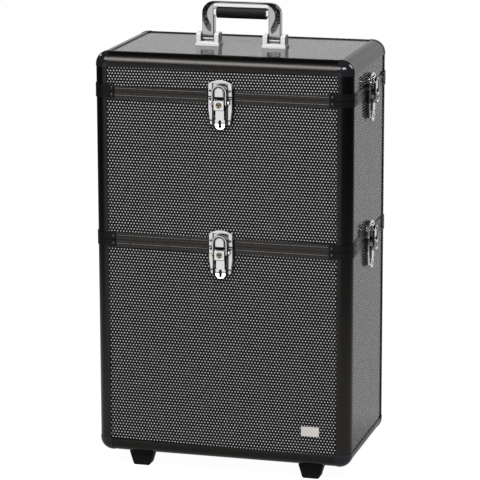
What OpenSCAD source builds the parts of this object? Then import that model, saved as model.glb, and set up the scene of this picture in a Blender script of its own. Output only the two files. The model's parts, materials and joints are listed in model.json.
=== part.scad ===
// Two-piece beauty case on wheels. A hinged lid closes the upper case, and the upper case lifts off
// the lower case. Six draw latches hold the two seams, three on each.
// Millimetres, +Z up, the front faces -Y. The feet and wheels stand on Z = 0.

/* [Case] */
// Width of the case over its metal edges
case_w = 376; // [350:1:400]
// Depth of the case over its metal edges
case_d = 228; // [215:1:250]
// Height of the case without its feet
body_h = 588; // [570:1:610]
// Height of the lid
lid_h = 55; // [52:1:60]
// Height of the upper case
upper_h = 215; // [205:1:225]
// Height of the feet under the lower case
foot_h = 22; // [20:1:24]
// Distance from the side of the case to the middle of each front foot
foot_inset = 61; // [55:1:66]
// Distance from the side of the case to the middle of the badge
badge_inset = 58; // [50:1:66]
// Height of the middle of the badge above the underside of the case
badge_rise = 53; // [46:1:60]

/* [Walls and edges] */
// Outer radius of the rounded metal edges
edge_r = 18.5; // [17:0.5:20]
// Thickness of the metal edge flanges, which stand proud of the panels
flange_t = 1.5; // [1.2:0.1:1.8]
// Width of the flat flange beside each rounded edge
flange_w = 1.5; // [1:0.5:3]
// Thickness of the wall panels
panel_t = 5; // [4:0.5:6]
// Thickness of the lining inside the panels
lining_t = 1.5; // [1:0.1:1.5]
// Height of the rim bar along the lower edge of the lid
lid_rim_h = 7.5; // [6.5:0.5:9]
// Height of the rim bars of the upper and lower cases
box_rim_h = 10.8; // [10:0.2:12]
// Open gap between two closed sections
seam_gap = 0.6; // [0.4:0.1:0.8]
// Height of the locating lip above each rim
lip_h = 3.5; // [2.5:0.5:4]
// Thickness of the corner clips
cap_t = 1.2; // [1:0.1:1.4]
// Thickness of the ball corners
ball_t = 0.6; // [0.5:0.1:0.9]
// Reach of the ball corners, measured from the outer faces of the case
ball_reach = 21; // [20.5:0.5:23]
// Height of the corner clips beside a seam
clip_h = 9.5; // [8:0.5:10]
// Reach of the corner clips, measured from the corner of the case
clip_reach = 31.5; // [29:0.5:34]

/* [Latches] */
// Width of the front of the latch plates
latch_w = 33.6; // [32:0.2:36]
// Width of the sloped sides of the latch plates
latch_bevel = 2.8; // [2:0.2:3.4]
// Thickness of the raised rails on the latch plates
latch_rail_t = 4.5; // [4:0.25:5]
// Radius of the pins that the lever and the bail turn on
latch_pin_r = 1.3; // [1.2:0.05:1.4]
// Running clearance between those pins and their holes
pin_clear = 0.06; // [0.04:0.01:0.08]
// Radius of the brass lock plug
plug_r = 4.2; // [3.8:0.1:4.4]
// Gap between the hook and the bail that closes over it
hook_gap = 0.6; // [0.5:0.1:0.9]

/* [Carry handle] */
// Overall width of the carry handle
handle_w = 116; // [110:1:122]
// Height of the handle top above the lid
handle_top = 62.5; // [58:0.5:66]
// Width of each handle arm
arm_w = 17.5; // [16.5:0.5:18.5]
// Length of the black hand grip
grip_l = 73; // [66:1:76]
// Width of each bracket that carries a handle arm
bracket_w = 33; // [32:0.5:36]
// Height of the brackets
bracket_h = 17; // [16:0.5:19]

/* [Wheels and pull handle] */
// Radius of the rear wheels
wheel_r = 24; // [23:0.5:24.5]
// Width of the rear wheels
wheel_w = 20; // [18:0.5:21]
// Distance from the side of the case to the middle of each wheel
wheel_inset = 49; // [47:1:54]
// Distance from the middle of the case to each pull handle tube
tube_x = 70; // [62:1:78]
// Sliding gap between one pull handle tube and the next, on each side
tube_gap = 0.3; // [0.25:0.05:0.4]
// Travel of the release button in the pull handle
button_stroke = 4; // [3:0.5:4]

/* [Hidden] */
$fn = 48;
eps = 0.02;
z_base = foot_h;
z_top = z_base + body_h;
z_lid = z_top - lid_h;
z_mid = z_lid - upper_h;
edge_in = flange_t + panel_t + lining_t;
butt_gap = 0.05;
pad_gap = 0.2;
floor_t = 4;
core_x = case_w / 2 - edge_r;
core_y = case_d / 2 - edge_r;
bar_x = core_x - flange_w;
bar_y = core_y - flange_w;
foot_x = case_w / 2 - foot_inset;
badge_x = case_w / 2 - badge_inset;
lip_t = 1.5;
lip_gap = 0.4;
bead_r = 1.4;
bead_out = 0.9;

// Latch layout, measured outward from the case and upward from the seam
rivet_r = 1.8;
keeper_top = 23;
keeper_shoulder = 17.8;
keeper_rivet_x = 14.3;
keeper_rivet_z = 8;
base_top = -1;
base_bottom = 40;
base_taper = 19;
base_foot_w = 28;
base_rivet_x = 13.3;
base_rivet_z = 6;
plate_t = 1.5;
lever_p_v = 6.5;
lever_p_w = -8.7;
hub_r = 5.5;
lever_w = 14.4;
block_face = 12;
block_bottom = 19;
block_top = -5;
tail_w = 12.2;
tail_in = 2.4;
tail_out = 6.4;
tip_w = -39.5;
tip_r = 7.2;
bail_p_v = 4.4;
bail_p_w = -28;
bail_in = 8.8;
bail_out = 11;
bail_t = 3;
bail_face = 11.2;
bail_top = 17;
crank_low = -17;
crank_high = -11;
crank_run = 1.2;
ear_in = 11.8;
ear_out = 14;
ear_r = 2.8;
hook_w = 7;
hook_r = 6.4;
hook_low = base_top + 0.3;
hook_back = 7;
hook_face = 10.4;
plug_w = -11.5;
plug_in = 5.8;
plug_face = 12.5;
slot_r = 2.2;
slot_low = tip_w - 3.4;
slot_h = 7.3;

// The lock plugs stand out furthest at the front and the pull handle furthest at the rear. The
// case is moved along Y so that the middle of the whole object lies on the origin
pull_depth = 18;
pull_stand = 1.5;
case_y = (plug_face - pull_stand - pull_depth) / 2;

// Carry handle layout, measured upward from the top of the lid
handle_x = handle_w / 2 - arm_w / 2;
handle_pin_z = 12;
handle_pin_r = 2;
handle_pin_half = arm_w / 2 + 4.5;
arm_t = 13;
notch_w = arm_w + 2.5;
notch_z = 4.5;
bracket_d = 20;
bar_t = 8;
bar_z = handle_top - bar_t;
lug_low = 13;
lug_h = 10;

// Wheel and pull handle layout, measured outward from the rear of the case
wheel_x = case_w / 2 - wheel_inset;
wheel_out = 8;
wheel_y = case_d / 2 + wheel_out - wheel_r;
well_gap = 2.5;
well_w = wheel_w + 3;
well_wall = 4.5;
axle_r = 3;
hub_face_r = 16;
house_w = well_w + 2 * well_wall;
house_in = wheel_y - wheel_r - well_gap - 4;
house_top = wheel_r * 2 + well_gap + 4;
tube_y = case_d / 2 + 8;
outer_tube = [20, 14];
outer_wall = 1.5;
mid_wall = 1.4;
in_wall = 1.2;
mid_tube = [outer_tube[0] - 2 * outer_wall - 2 * tube_gap, outer_tube[1] - 2 * outer_wall - 2 * tube_gap];
in_tube = [mid_tube[0] - 2 * mid_wall - 2 * tube_gap, mid_tube[1] - 2 * mid_wall - 2 * tube_gap];
tube_low = 62;
shoe_h = 26;
tube_high = z_mid - 10;
pull_z = z_mid + 2;
pull_gap = 20;
pull_bar_h = 20;
pull_leg_w = 28;
pull_half = tube_x + pull_leg_w / 2;
button_l = 34;
button_d = 10;
button_h = 8;
button_gap = 0.3;

// Rear hinges of the lid. Their axis lies behind the rear face, level with the seam, and the pull
// handle passes between them
hinge_out = 4;
knuckle_r = 3.6;
hinge_pin_r = 1.5;
leaf_w = 50;
hinge_x = pull_half + leaf_w / 2 + 4;
leaf_h = 26;
leaf_t = 1.6;
mid_knuckle = 26;
knuckle_gap = 0.4;

// Places a shape at the four upright corners, turned so that its +X and +Y faces look outward
module four_corners(dx, dy) {
    for (k = [0:3])
        translate([(k == 0 || k == 3) ? dx : -dx, k < 2 ? dy : -dy, 0])
            rotate([0, 0, 90 * k])
                children();
}

// Turns a shape that stands along Z with its outside at +X and +Y, so that it lies along X
module lay_x(turn) {
    rotate([turn, 0, 0])
        rotate([90, 0, 90])
            children();
}

// The same for a shape that is to lie along Y
module lay_y(turn) {
    rotate([0, turn, 0])
        rotate([90, 0, 90])
            rotate([90, 0, 90])
                children();
}

// One metal edge: a rounded corner with an outer and an inner flange that hold the panels. The
// flanges on the X face and on the Y face can stop short of both ends
module edge_bar(length, short_x = 0, short_y = 0) {
    intersection() {
        difference() {
            cylinder(r = edge_r, h = length);
            translate([0, 0, -1])
                cylinder(r = edge_r - edge_in, h = length + 2);
        }
        cube([edge_r + 1, edge_r + 1, length]);
    }
    for (depth = [0, edge_in - lining_t]) {
        translate([edge_r - depth - flange_t, -flange_w, short_x])
            cube([flange_t, flange_w, length - 2 * short_x]);
        translate([-flange_w, edge_r - depth - flange_t, short_y])
            cube([flange_w, flange_t, length - 2 * short_y]);
    }
}

// The four level edges round the top or the bottom of the case, with the turns that lay them.
// side tells which of the two edges along X has its upright flange on the bar's X face
module level_edges(turns_x, turns_y, side) {
    length_x = 2 * core_x - 2 * butt_gap;
    length_y = 2 * core_y - 2 * butt_gap;
    for (k = [0, 1]) {
        s = 2 * k - 1;
        translate([-length_x / 2, s * core_y, 0])
            lay_x(turns_x[k])
                edge_bar(length_x, k == side ? flange_w : 0, k == side ? 0 : flange_w);
        translate([s * core_x, -length_y / 2, 0])
            lay_y(turns_y[k])
                edge_bar(length_y, flange_w, flange_w);
    }
}

// The rounded corner where three metal edges meet, with its outside at +X, +Y and +Z
module edge_corner() {
    intersection() {
        difference() {
            sphere(r = edge_r);
            sphere(r = edge_r - edge_in);
        }
        cube([edge_r + 1, edge_r + 1, edge_r + 1]);
    }
}

// The outside of a rounded box near one corner
module round_corner(r, reach) {
    sphere(r = r);
    translate([0, 0, -reach])
        cylinder(r = r, h = reach);
    translate([-reach, 0, 0])
        rotate([0, 90, 0])
            cylinder(r = r, h = reach);
    rotate([90, 0, 0])
        cylinder(r = r, h = reach);
    translate([-reach, -reach, -reach])
        cube([reach + r, reach, reach]);
    translate([-reach, -reach, -reach])
        cube([reach, reach + r, reach]);
    translate([-reach, -reach, -reach])
        cube([reach, reach, reach + r]);
}

// One ball corner: a thin cap that ends square on the three edges
module ball_corner() {
    start = edge_r - ball_reach;
    intersection() {
        difference() {
            round_corner(edge_r + ball_t, ball_reach);
            round_corner(edge_r, ball_reach + 2);
        }
        translate([start, start, start])
            cube(ball_reach + ball_t + 1);
    }
}

// One clip round an upright corner, standing on Z = 0
module corner_clip() {
    arm = clip_reach - edge_r;
    intersection() {
        difference() {
            cylinder(r = edge_r + cap_t, h = clip_h);
            translate([0, 0, -1])
                cylinder(r = edge_r, h = clip_h + 2);
        }
        cube([edge_r + cap_t, edge_r + cap_t, clip_h]);
    }
    translate([edge_r, -arm, 0])
        cube([cap_t, arm, clip_h]);
    translate([-arm, edge_r, 0])
        cube([arm, cap_t, clip_h]);
}

module all_clips(z) {
    translate([0, 0, z])
        four_corners(core_x, core_y)
            corner_clip();
}

// Four upright wall slabs between two heights, at a depth inside the metal edges
module walls(depth, t, z0, z1) {
    for (s = [-1, 1]) {
        translate([-core_x, s > 0 ? case_d / 2 - depth - t : -case_d / 2 + depth, z0])
            cube([2 * core_x, t, z1 - z0]);
        translate([s > 0 ? case_w / 2 - depth - t : -case_w / 2 + depth, -core_y, z0])
            cube([t, 2 * core_y, z1 - z0]);
    }
}

module lining_walls(z0, z1) {
    depth = flange_t + panel_t;
    for (s = [-1, 1]) {
        translate([-bar_x, s > 0 ? case_d / 2 - edge_in : -case_d / 2 + depth, z0])
            cube([2 * bar_x, lining_t, z1 - z0]);
        translate([s > 0 ? case_w / 2 - edge_in : -case_w / 2 + depth, -bar_y, z0])
            cube([lining_t, 2 * bar_y, z1 - z0]);
    }
}

// A bar along the front of a rim, with its face at y = 0 and its inside at +y. up is 1 for the
// side of the seam above the bar's edge and -1 for the side below it
module rim_bar(length, h, up, bead, lip) {
    z0 = up > 0 ? seam_gap / 2 : -h;
    mid = up * h * 0.55;
    bead_in = latch_w / 2 + latch_bevel + 1;
    bead_end = length / 2 + edge_r + flange_w - clip_reach - 1;
    translate([-length / 2, 0, z0])
        cube([length, edge_in, h - seam_gap / 2]);
    if (bead)
        for (s = [-1, 1])
            translate([s > 0 ? bead_in : -bead_end, bead_r - bead_out, mid])
                rotate([0, 90, 0])
                    cylinder(r = bead_r, h = bead_end - bead_in, $fn = 24);
    if (lip) {
        translate([-length / 2 + 4, edge_in - 0.5, -6])
            cube([length - 8, lip_gap + lip_t + 0.5, 6 - seam_gap / 2]);
        translate([-length / 2 + 4, edge_in + lip_gap, -seam_gap / 2 - eps])
            cube([length - 8, lip_t, lip_h + seam_gap / 2 + eps]);
    }
}

module rim(z, h, up, lip) {
    translate([0, 0, z]) {
        translate([0, -case_d / 2, 0])
            rim_bar(2 * bar_x, h, up, true, lip);
        rotate([0, 0, 180])
            translate([0, -case_d / 2, 0])
                rim_bar(2 * bar_x, h, up, false, lip);
        for (a = [90, -90])
            rotate([0, 0, a])
                translate([0, -case_w / 2, 0])
                    rim_bar(2 * bar_y, h, up, true, lip);
    }
}

// A low rivet head that sits on a face looking along -Y
module rivet(r = rivet_r) {
    rotate([90, 0, 0]) {
        cylinder(r = r, h = 0.5, $fn = 24);
        translate([0, 0, 0.5])
            cylinder(r1 = r, r2 = r * 0.55, h = 0.5, $fn = 24);
    }
}

// Rivets on both arms of the four corner clips
module clip_rivets(z) {
    inset = clip_reach - 4;
    for (s = [-1, 1], a = [0, 180]) {
        rotate([0, 0, a])
            translate([s * (case_w / 2 - inset), -case_d / 2 - cap_t, z])
                rivet();
        rotate([0, 0, a + 90])
            translate([s * (case_d / 2 - inset), -case_w / 2 - cap_t, z])
                rivet();
    }
}

// Places a latch piece at the front, the left or the right of a seam
module at_front(z) {
    translate([0, -case_d / 2, z])
        children();
}

module at_left(z) {
    rotate([0, 0, -90])
        translate([0, -case_w / 2, z])
            children();
}

module at_right(z) {
    rotate([0, 0, 90])
        translate([0, -case_w / 2, z])
            children();
}

module at_three(z) {
    at_front(z)
        children();
    at_left(z)
        children();
    at_right(z)
        children();
}

// A slab of a latch: an outline in width and height, from one outward distance to another
module slab(from, to) {
    translate([0, -from, 0])
        rotate([90, 0, 0])
            linear_extrude(height = to - from)
                children();
}

// Cuts the sloped sides of a latch plate, which stands out by the thickness of its rails. turn
// leans the two cuts towards each other below a height
module side_slopes(turn = 0, z = 0) {
    run = latch_bevel / latch_rail_t;
    for (m = [0, 1])
        mirror([m, 0, 0])
            translate([latch_w / 2, 0, z])
                rotate([0, turn, 0])
                    translate([0, 0, -2 * base_bottom])
                        linear_extrude(height = 4 * base_bottom)
                            polygon([
                                [-run, -latch_rail_t - 1], [latch_bevel + run, 1],
                                [2 * latch_w, 1], [2 * latch_w, -latch_rail_t - 1]
                            ]);
}

module keeper_outline(w) {
    sag = keeper_top - keeper_shoulder;
    r = (pow(latch_w / 2, 2) + sag * sag) / (2 * sag);
    intersection() {
        translate([-w / 2, seam_gap / 2])
            square([w, keeper_top]);
        translate([0, keeper_top - r])
            circle(r = r, $fn = 96);
    }
}

// The hook seen from the front: a round top on a straight tongue
module hook_outline(r) {
    translate([0, hook_w])
        circle(r = r);
    translate([-r, hook_low])
        square([2 * r, hook_w - hook_low]);
}

// The upper latch plate with its dished middle and the hook
module keeper(rim_h) {
    dish = bail_out + 0.8;
    difference() {
        slab(0, latch_rail_t)
            keeper_outline(latch_w + 2 * latch_bevel);
        side_slopes();
        slab(plate_t, latch_rail_t + 1)
            translate([-dish, -1])
                square([2 * dish, keeper_shoulder + 2]);
    }
    slab(-flange_t, eps)
        intersection() {
            keeper_outline(latch_w);
            translate([-latch_w, rim_h + pad_gap])
                square([2 * latch_w, keeper_top]);
        }
    slab(0, hook_back + eps)
        hook_outline(hook_r - 1.4);
    slab(hook_back, hook_face - 0.8)
        hook_outline(hook_r);
    slab(hook_face - 0.8 - eps, hook_face)
        hook_outline(hook_r - 0.8);
}

module base_outline() {
    polygon([
        [-latch_w / 2, base_top], [latch_w / 2, base_top], [latch_w / 2, -base_taper],
        [base_foot_w / 2, -base_bottom], [-base_foot_w / 2, -base_bottom], [-latch_w / 2, -base_taper]
    ]);
}

// The lower latch plate: side rails, a window behind the lever and two ears that hold its pin
module latch_base() {
    window = [lever_w + 1.6, 2 * hub_r + 1.4];
    wide = latch_w + 2 * latch_bevel;
    difference() {
        slab(0, latch_rail_t)
            translate([-wide / 2, -base_bottom])
                square([wide, base_bottom + base_top]);
        side_slopes();
        side_slopes(atan((latch_w - base_foot_w) / 2 / (base_bottom - base_taper)), -base_taper);
        slab(plate_t, latch_rail_t + 1)
            translate([-ear_in, -base_bottom - 1])
                square([2 * ear_in, base_bottom + 1]);
        slab(-1, latch_rail_t)
            translate([-window[0] / 2, lever_p_w - window[1] / 2])
                square(window);
    }
    slab(-flange_t, eps)
        intersection() {
            base_outline();
            translate([-latch_w, -base_bottom - 1])
                square([2 * latch_w, base_bottom + 1 - box_rim_h - pad_gap]);
        }
    for (s = [-1, 1])
        difference() {
            union() {
                translate([s > 0 ? ear_in : -ear_out, -lever_p_v, lever_p_w - ear_r])
                    cube([ear_out - ear_in, lever_p_v, 2 * ear_r]);
                lever_pin(s, ear_in, ear_out, ear_r);
            }
            lever_pin(s, ear_in - 1, ear_out + 1, latch_pin_r + pin_clear);
        }
}

// A short round bar on the lever's turning axis, on one side of the latch
module lever_pin(s, from, to, r) {
    translate([s > 0 ? from : -to, -lever_p_v, lever_p_w])
        rotate([0, 90, 0])
            cylinder(r = r, h = to - from, $fn = 32);
}

module bail_axis(half, r) {
    translate([-half, -bail_p_v, bail_p_w])
        rotate([0, 90, 0])
            cylinder(r = r, h = 2 * half, $fn = 32);
}

// The lever: a round hub, a block that holds the lock, and a thumb tail with a slot
module lever() {
    difference() {
        union() {
            translate([-lever_w / 2, -lever_p_v, lever_p_w])
                rotate([0, 90, 0])
                    cylinder(r = hub_r, h = lever_w);
            translate([-lever_w / 2, -block_face, -block_bottom])
                cube([lever_w, block_face - tail_in - 0.8, block_bottom + block_top]);
            translate([-tail_w / 2, -tail_out, tip_w + 8])
                cube([tail_w, tail_out - tail_in, -tip_w - 8 - block_bottom + 1]);
            slab(tail_in, tail_out - 1)
                union() {
                    translate([0, tip_w])
                        circle(r = tip_r);
                    translate([-tip_r, tip_w])
                        square([2 * tip_r, 6]);
                    translate([-tail_w / 2, tip_w])
                        square([tail_w, 9]);
                }
        }
        bail_axis(tail_w, latch_pin_r + pin_clear);
        translate([0, -plug_in, plug_w])
            rotate([90, 0, 0])
                cylinder(r = plug_r + pin_clear, h = 10, $fn = 32);
        slab(0, 10)
            union() {
                translate([-slot_r, slot_low])
                    square([2 * slot_r, slot_h]);
                for (z = [slot_low, slot_low + slot_h])
                    translate([0, z])
                        circle(r = slot_r, $fn = 24);
            }
    }
    for (s = [-1, 1])
        lever_pin(s, lever_w / 2 - 0.5, ear_out, latch_pin_r);
}

module bail_front_outline() {
    difference() {
        union() {
            translate([0, bail_top - bail_out])
                circle(r = bail_out, $fn = 64);
            translate([-bail_out, bail_p_w - 2])
                square([2 * bail_out, bail_top - bail_out - bail_p_w + 2]);
        }
        translate([0, hook_w + hook_r + hook_gap - bail_in])
            circle(r = bail_in, $fn = 64);
        translate([-bail_in, bail_p_w - 3])
            square([2 * bail_in, hook_w + hook_r + hook_gap - bail_in - bail_p_w + 3]);
    }
}

// The bail: two cranked legs and an arch that closes over the hook
module bail() {
    low_in = bail_p_v - bail_t / 2;
    low_out = bail_p_v + bail_t / 2;
    high_in = bail_face - bail_t;
    intersection() {
        slab(0, bail_face + 1)
            bail_front_outline();
        translate([-bail_out - 1, 0, 0])
            rotate([90, 0, 90])
                linear_extrude(height = 2 * bail_out + 2)
                    polygon([
                        [-low_in, bail_p_w - 2], [-low_out, bail_p_w - 2], [-low_out, crank_low],
                        [-bail_face, crank_high], [-bail_face, bail_top + 1],
                        [-high_in, bail_top + 1], [-high_in, crank_high - crank_run],
                        [-low_in, crank_low - crank_run]
                    ]);
    }
    for (s = [-1, 1])
        translate([s > 0 ? 3.5 : -bail_in - 0.5, -bail_p_v, bail_p_w])
            rotate([0, 90, 0])
                cylinder(r = latch_pin_r, h = bail_in - 3, $fn = 32);
}

// The lock plug with its keyway: two lobes side by side over a narrow stem
module plug() {
    lobe_r = 1.4;
    lobe_x = 1.6;
    lobe_z = 0.8;
    stem = [2, 3.8];
    difference() {
        translate([0, -plug_in, plug_w])
            rotate([90, 0, 0])
                cylinder(r = plug_r, h = plug_face - plug_in, $fn = 32);
        slab(plug_face - 1.6, plug_face + 1)
            translate([0, plug_w]) {
                for (s = [-1, 1])
                    translate([s * lobe_x, lobe_z])
                        circle(r = lobe_r, $fn = 24);
                translate([-lobe_x, lobe_z - lobe_r / 2])
                    square([2 * lobe_x, lobe_r]);
                translate([-stem[0] / 2, lobe_z - stem[1]])
                    square(stem);
            }
    }
}

module keeper_rivets() {
    for (s = [-1, 1])
        translate([s * keeper_rivet_x, -latch_rail_t, keeper_rivet_z])
            rivet();
}

module base_rivets() {
    for (s = [-1, 1]) {
        translate([s * (keeper_rivet_x + 0.3), -latch_rail_t, -3.5])
            rivet();
        translate([s * base_rivet_x, -latch_rail_t, -base_bottom + base_rivet_z])
            rivet(1.4);
    }
}

// The space that the wheel housings take out of the lower case
module wheel_pockets(grow) {
    for (s = [-1, 1])
        translate([s * wheel_x - house_w / 2 - grow, house_in - grow, 0])
            cube([house_w + 2 * grow, case_d / 2 - house_in + wheel_r, house_top + grow]);
}

module lower_panels() {
    color("DimGray")
        translate([0, case_y, 0])
            difference() {
                union() {
                    walls(flange_t, panel_t, z_base + edge_r, z_mid - box_rim_h);
                    translate([-core_x, -core_y, z_base + flange_t])
                        cube([2 * core_x, 2 * core_y, panel_t]);
                }
                wheel_pockets(0.1);
            }
}

// A floor that rests on the rim bars and leaves room for the upright edges at its corners
module upper_floor(z, t) {
    depth = flange_t + panel_t + butt_gap;
    translate([-case_w / 2 + depth, -bar_y, z])
        cube([case_w - 2 * depth, 2 * bar_y, t]);
    translate([-bar_x, -case_d / 2 + depth, z])
        cube([2 * bar_x, case_d - 2 * depth, t]);
}

module upper_panels() {
    color("DimGray")
        translate([0, case_y, 0]) {
            walls(flange_t, panel_t, z_mid + box_rim_h, z_lid - box_rim_h);
            upper_floor(z_mid + box_rim_h, floor_t);
        }
}

module lid_panels() {
    color("DimGray")
        translate([0, case_y, 0]) {
            walls(flange_t, panel_t, z_lid + lid_rim_h, z_top - edge_r);
            translate([-core_x, -core_y, z_top - flange_t - panel_t])
                cube([2 * core_x, 2 * core_y, panel_t]);
        }
}

module lower_frame() {
    color("Gray")
        translate([0, case_y, 0])
            difference() {
                translate([0, 0, z_base + edge_r]) {
                    translate([0, 0, butt_gap])
                        four_corners(core_x, core_y)
                            edge_bar(z_mid - seam_gap / 2 - z_base - edge_r - butt_gap);
                    four_corners(core_x, core_y)
                        mirror([0, 0, 1])
                            edge_corner();
                    level_edges([180, 270], [180, 90], 0);
                }
                wheel_pockets(0.1);
            }
}

module upper_frame() {
    color("Gray")
        translate([0, case_y, z_mid + seam_gap / 2])
            four_corners(core_x, core_y)
                edge_bar(upper_h - seam_gap);
}

module lid_frame() {
    color("Gray")
        translate([0, case_y, 0]) {
            translate([0, 0, z_lid + seam_gap / 2])
                four_corners(core_x, core_y)
                    edge_bar(lid_h - edge_r - seam_gap / 2 - butt_gap);
            translate([0, 0, z_top - edge_r]) {
                four_corners(core_x, core_y)
                    edge_corner();
                level_edges([90, 0], [270, 0], 1);
            }
        }
}

module lower_rim() {
    color("Silver")
        translate([0, case_y, 0])
            rim(z_mid, box_rim_h, -1, true);
}

module upper_rims() {
    color("Silver")
        translate([0, case_y, 0]) {
            rim(z_mid, box_rim_h, 1, false);
            rim(z_lid, box_rim_h, -1, true);
        }
}

module lid_rim() {
    color("Silver")
        translate([0, case_y, 0])
            rim(z_lid, lid_rim_h, 1, false);
}

module lower_ball_corners() {
    color("Black")
        translate([0, case_y, z_base + edge_r])
            four_corners(core_x, core_y)
                mirror([0, 0, 1])
                    ball_corner();
}

module lid_ball_corners() {
    color("Black")
        translate([0, case_y, z_top - edge_r])
            four_corners(core_x, core_y)
                ball_corner();
}

module lower_corner_clips() {
    color("DarkSlateGray")
        translate([0, case_y, 0])
            all_clips(z_mid - seam_gap / 2 - clip_h);
}

module upper_corner_clips() {
    color("DarkSlateGray")
        translate([0, case_y, 0]) {
            all_clips(z_mid + seam_gap / 2);
            all_clips(z_lid - seam_gap / 2 - clip_h);
        }
}

module lid_corner_clips() {
    color("DarkSlateGray")
        translate([0, case_y, 0])
            all_clips(z_lid + seam_gap / 2);
}

module lower_lining() {
    color("SlateGray")
        translate([0, case_y, 0])
            difference() {
                union() {
                    lining_walls(z_base + edge_r + flange_w, z_mid - box_rim_h);
                    translate([-bar_x, -bar_y, z_base + edge_in - lining_t])
                        cube([2 * bar_x, 2 * bar_y, lining_t]);
                }
                wheel_pockets(0.1);
            }
}

module upper_lining() {
    floor_z = z_mid + box_rim_h + floor_t;
    color("SlateGray")
        translate([0, case_y, 0]) {
            lining_walls(floor_z + lining_t + butt_gap, z_lid - box_rim_h);
            upper_floor(floor_z, lining_t);
        }
}

module lid_lining() {
    color("SlateGray")
        translate([0, case_y, 0]) {
            lining_walls(z_lid + lid_rim_h, z_top - edge_r - flange_w);
            translate([-bar_x, -bar_y, z_top - edge_in])
                cube([2 * bar_x, 2 * bar_y, lining_t]);
        }
}

module lower_rivets() {
    color("LightGray")
        translate([0, case_y, 0]) {
            clip_rivets(z_mid - seam_gap / 2 - clip_h / 2);
            at_three(z_mid)
                base_rivets();
        }
}

module upper_rivets() {
    color("LightGray")
        translate([0, case_y, 0]) {
            clip_rivets(z_mid + seam_gap / 2 + clip_h / 2);
            clip_rivets(z_lid - seam_gap / 2 - clip_h / 2);
            at_three(z_mid)
                keeper_rivets();
            at_three(z_lid)
                base_rivets();
            hinge_rivets(-1);
        }
}

module lid_rivets() {
    color("LightGray")
        translate([0, case_y, 0]) {
            clip_rivets(z_lid + seam_gap / 2 + clip_h / 2);
            at_three(z_lid)
                keeper_rivets();
            hinge_rivets(1);
        }
}

module mid_latch_bases() {
    color("Gainsboro")
        translate([0, case_y, 0])
            at_three(z_mid)
                latch_base();
}

module lid_latch_bases() {
    color("Gainsboro")
        translate([0, case_y, 0])
            at_three(z_lid)
                latch_base();
}

module mid_latch_keepers() {
    color("Gainsboro")
        translate([0, case_y, 0])
            at_three(z_mid)
                keeper(box_rim_h);
}

module lid_latch_keepers() {
    color("Gainsboro")
        translate([0, case_y, 0])
            at_three(z_lid)
                keeper(lid_rim_h);
}

// Front feet: tapered blocks under the base, with a pad that reaches the recessed base panel
module front_feet() {
    foot_top_w = 36;
    foot_low_w = 25.5;
    foot_d = 18;
    y0 = -case_d / 2 + edge_r - 2;
    color("#202020")
        translate([0, case_y, 0])
            for (s = [-1, 1])
                translate([s * foot_x, y0, 0]) {
                    translate([0, foot_d, 0])
                        rotate([90, 0, 0])
                            linear_extrude(height = foot_d)
                                polygon([
                                    [-foot_low_w / 2 + 2, 0], [foot_low_w / 2 - 2, 0],
                                    [foot_low_w / 2, 2], [foot_top_w / 2, foot_h - 3],
                                    [foot_top_w / 2, foot_h], [-foot_top_w / 2, foot_h],
                                    [-foot_top_w / 2, foot_h - 3], [-foot_low_w / 2, 2]
                                ]);
                    translate([-foot_top_w / 2, flange_w + 2.2, foot_h - eps])
                        cube([foot_top_w, foot_d - flange_w - 2.2, flange_t + eps]);
                }
}

// Wheel housings: a box with a round well that opens down and to the rear
module wheel_housings() {
    color("#202020")
        translate([0, case_y, 0])
            for (s = [-1, 1])
                translate([s * wheel_x, 0, 0])
                    difference() {
                        union() {
                            translate([-house_w / 2, house_in, foot_h - 10])
                                cube([house_w, case_d / 2 - house_in, house_top - foot_h + 10]);
                            translate([-house_w / 2 - 3, case_d / 2, foot_h + edge_r - 4])
                                cube([house_w + 6, 1.2, house_top - foot_h - edge_r + 8]);
                        }
                        translate([-well_w / 2, wheel_y, wheel_r])
                            rotate([0, 90, 0])
                                cylinder(r = wheel_r + well_gap, h = well_w);
                        translate([-well_w / 2, wheel_y, -1])
                            cube([well_w, 2 * wheel_r, wheel_r + 1 + wheel_r + well_gap - eps]);
                        translate([-well_w / 2, wheel_y - wheel_r - well_gap, -1])
                            cube([well_w, 2 * (wheel_r + well_gap), wheel_r + 1]);
                        translate([-house_w / 2 + 1, wheel_y, wheel_r])
                            rotate([0, 90, 0])
                                cylinder(r = axle_r + pin_clear, h = house_w - 2);
                    }
}

// Badge: a bare plate on the lower front panel
module badge_plate() {
    badge = [26.4, 14.2];
    step = 0.6;
    color("Silver")
        translate([badge_x, case_y - case_d / 2 + flange_t, z_base + badge_rise])
            rotate([90, 0, 0]) {
                linear_extrude(height = 0.8)
                    square(badge, center = true);
                linear_extrude(height = 1.4)
                    square([badge[0] - step, badge[1] - step], center = true);
            }
}

module hinge_rivets(up) {
    for (s = [-1, 1], u = [-18, 0, 18])
        translate([s * hinge_x + u, case_d / 2 + leaf_t, z_lid + up * (leaf_h - 8)])
            rotate([0, 0, 180])
                rivet();
}

// A round bar along the hinge axis, from one distance along it to another
module hinge_bar(from, to, r) {
    translate([from, case_d / 2 + hinge_out, z_lid])
        rotate([0, 90, 0])
            cylinder(r = r, h = to - from, $fn = 32);
}

// The pad that fills the step between the rim and the recessed panel behind a hinge leaf
module leaf_pad(up, rim_h) {
    z0 = up > 0 ? z_lid + rim_h + pad_gap : z_lid - leaf_h;
    translate([-leaf_w / 2, case_d / 2 - flange_t, z0])
        cube([leaf_w, flange_t + eps, leaf_h - rim_h - pad_gap]);
}

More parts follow.
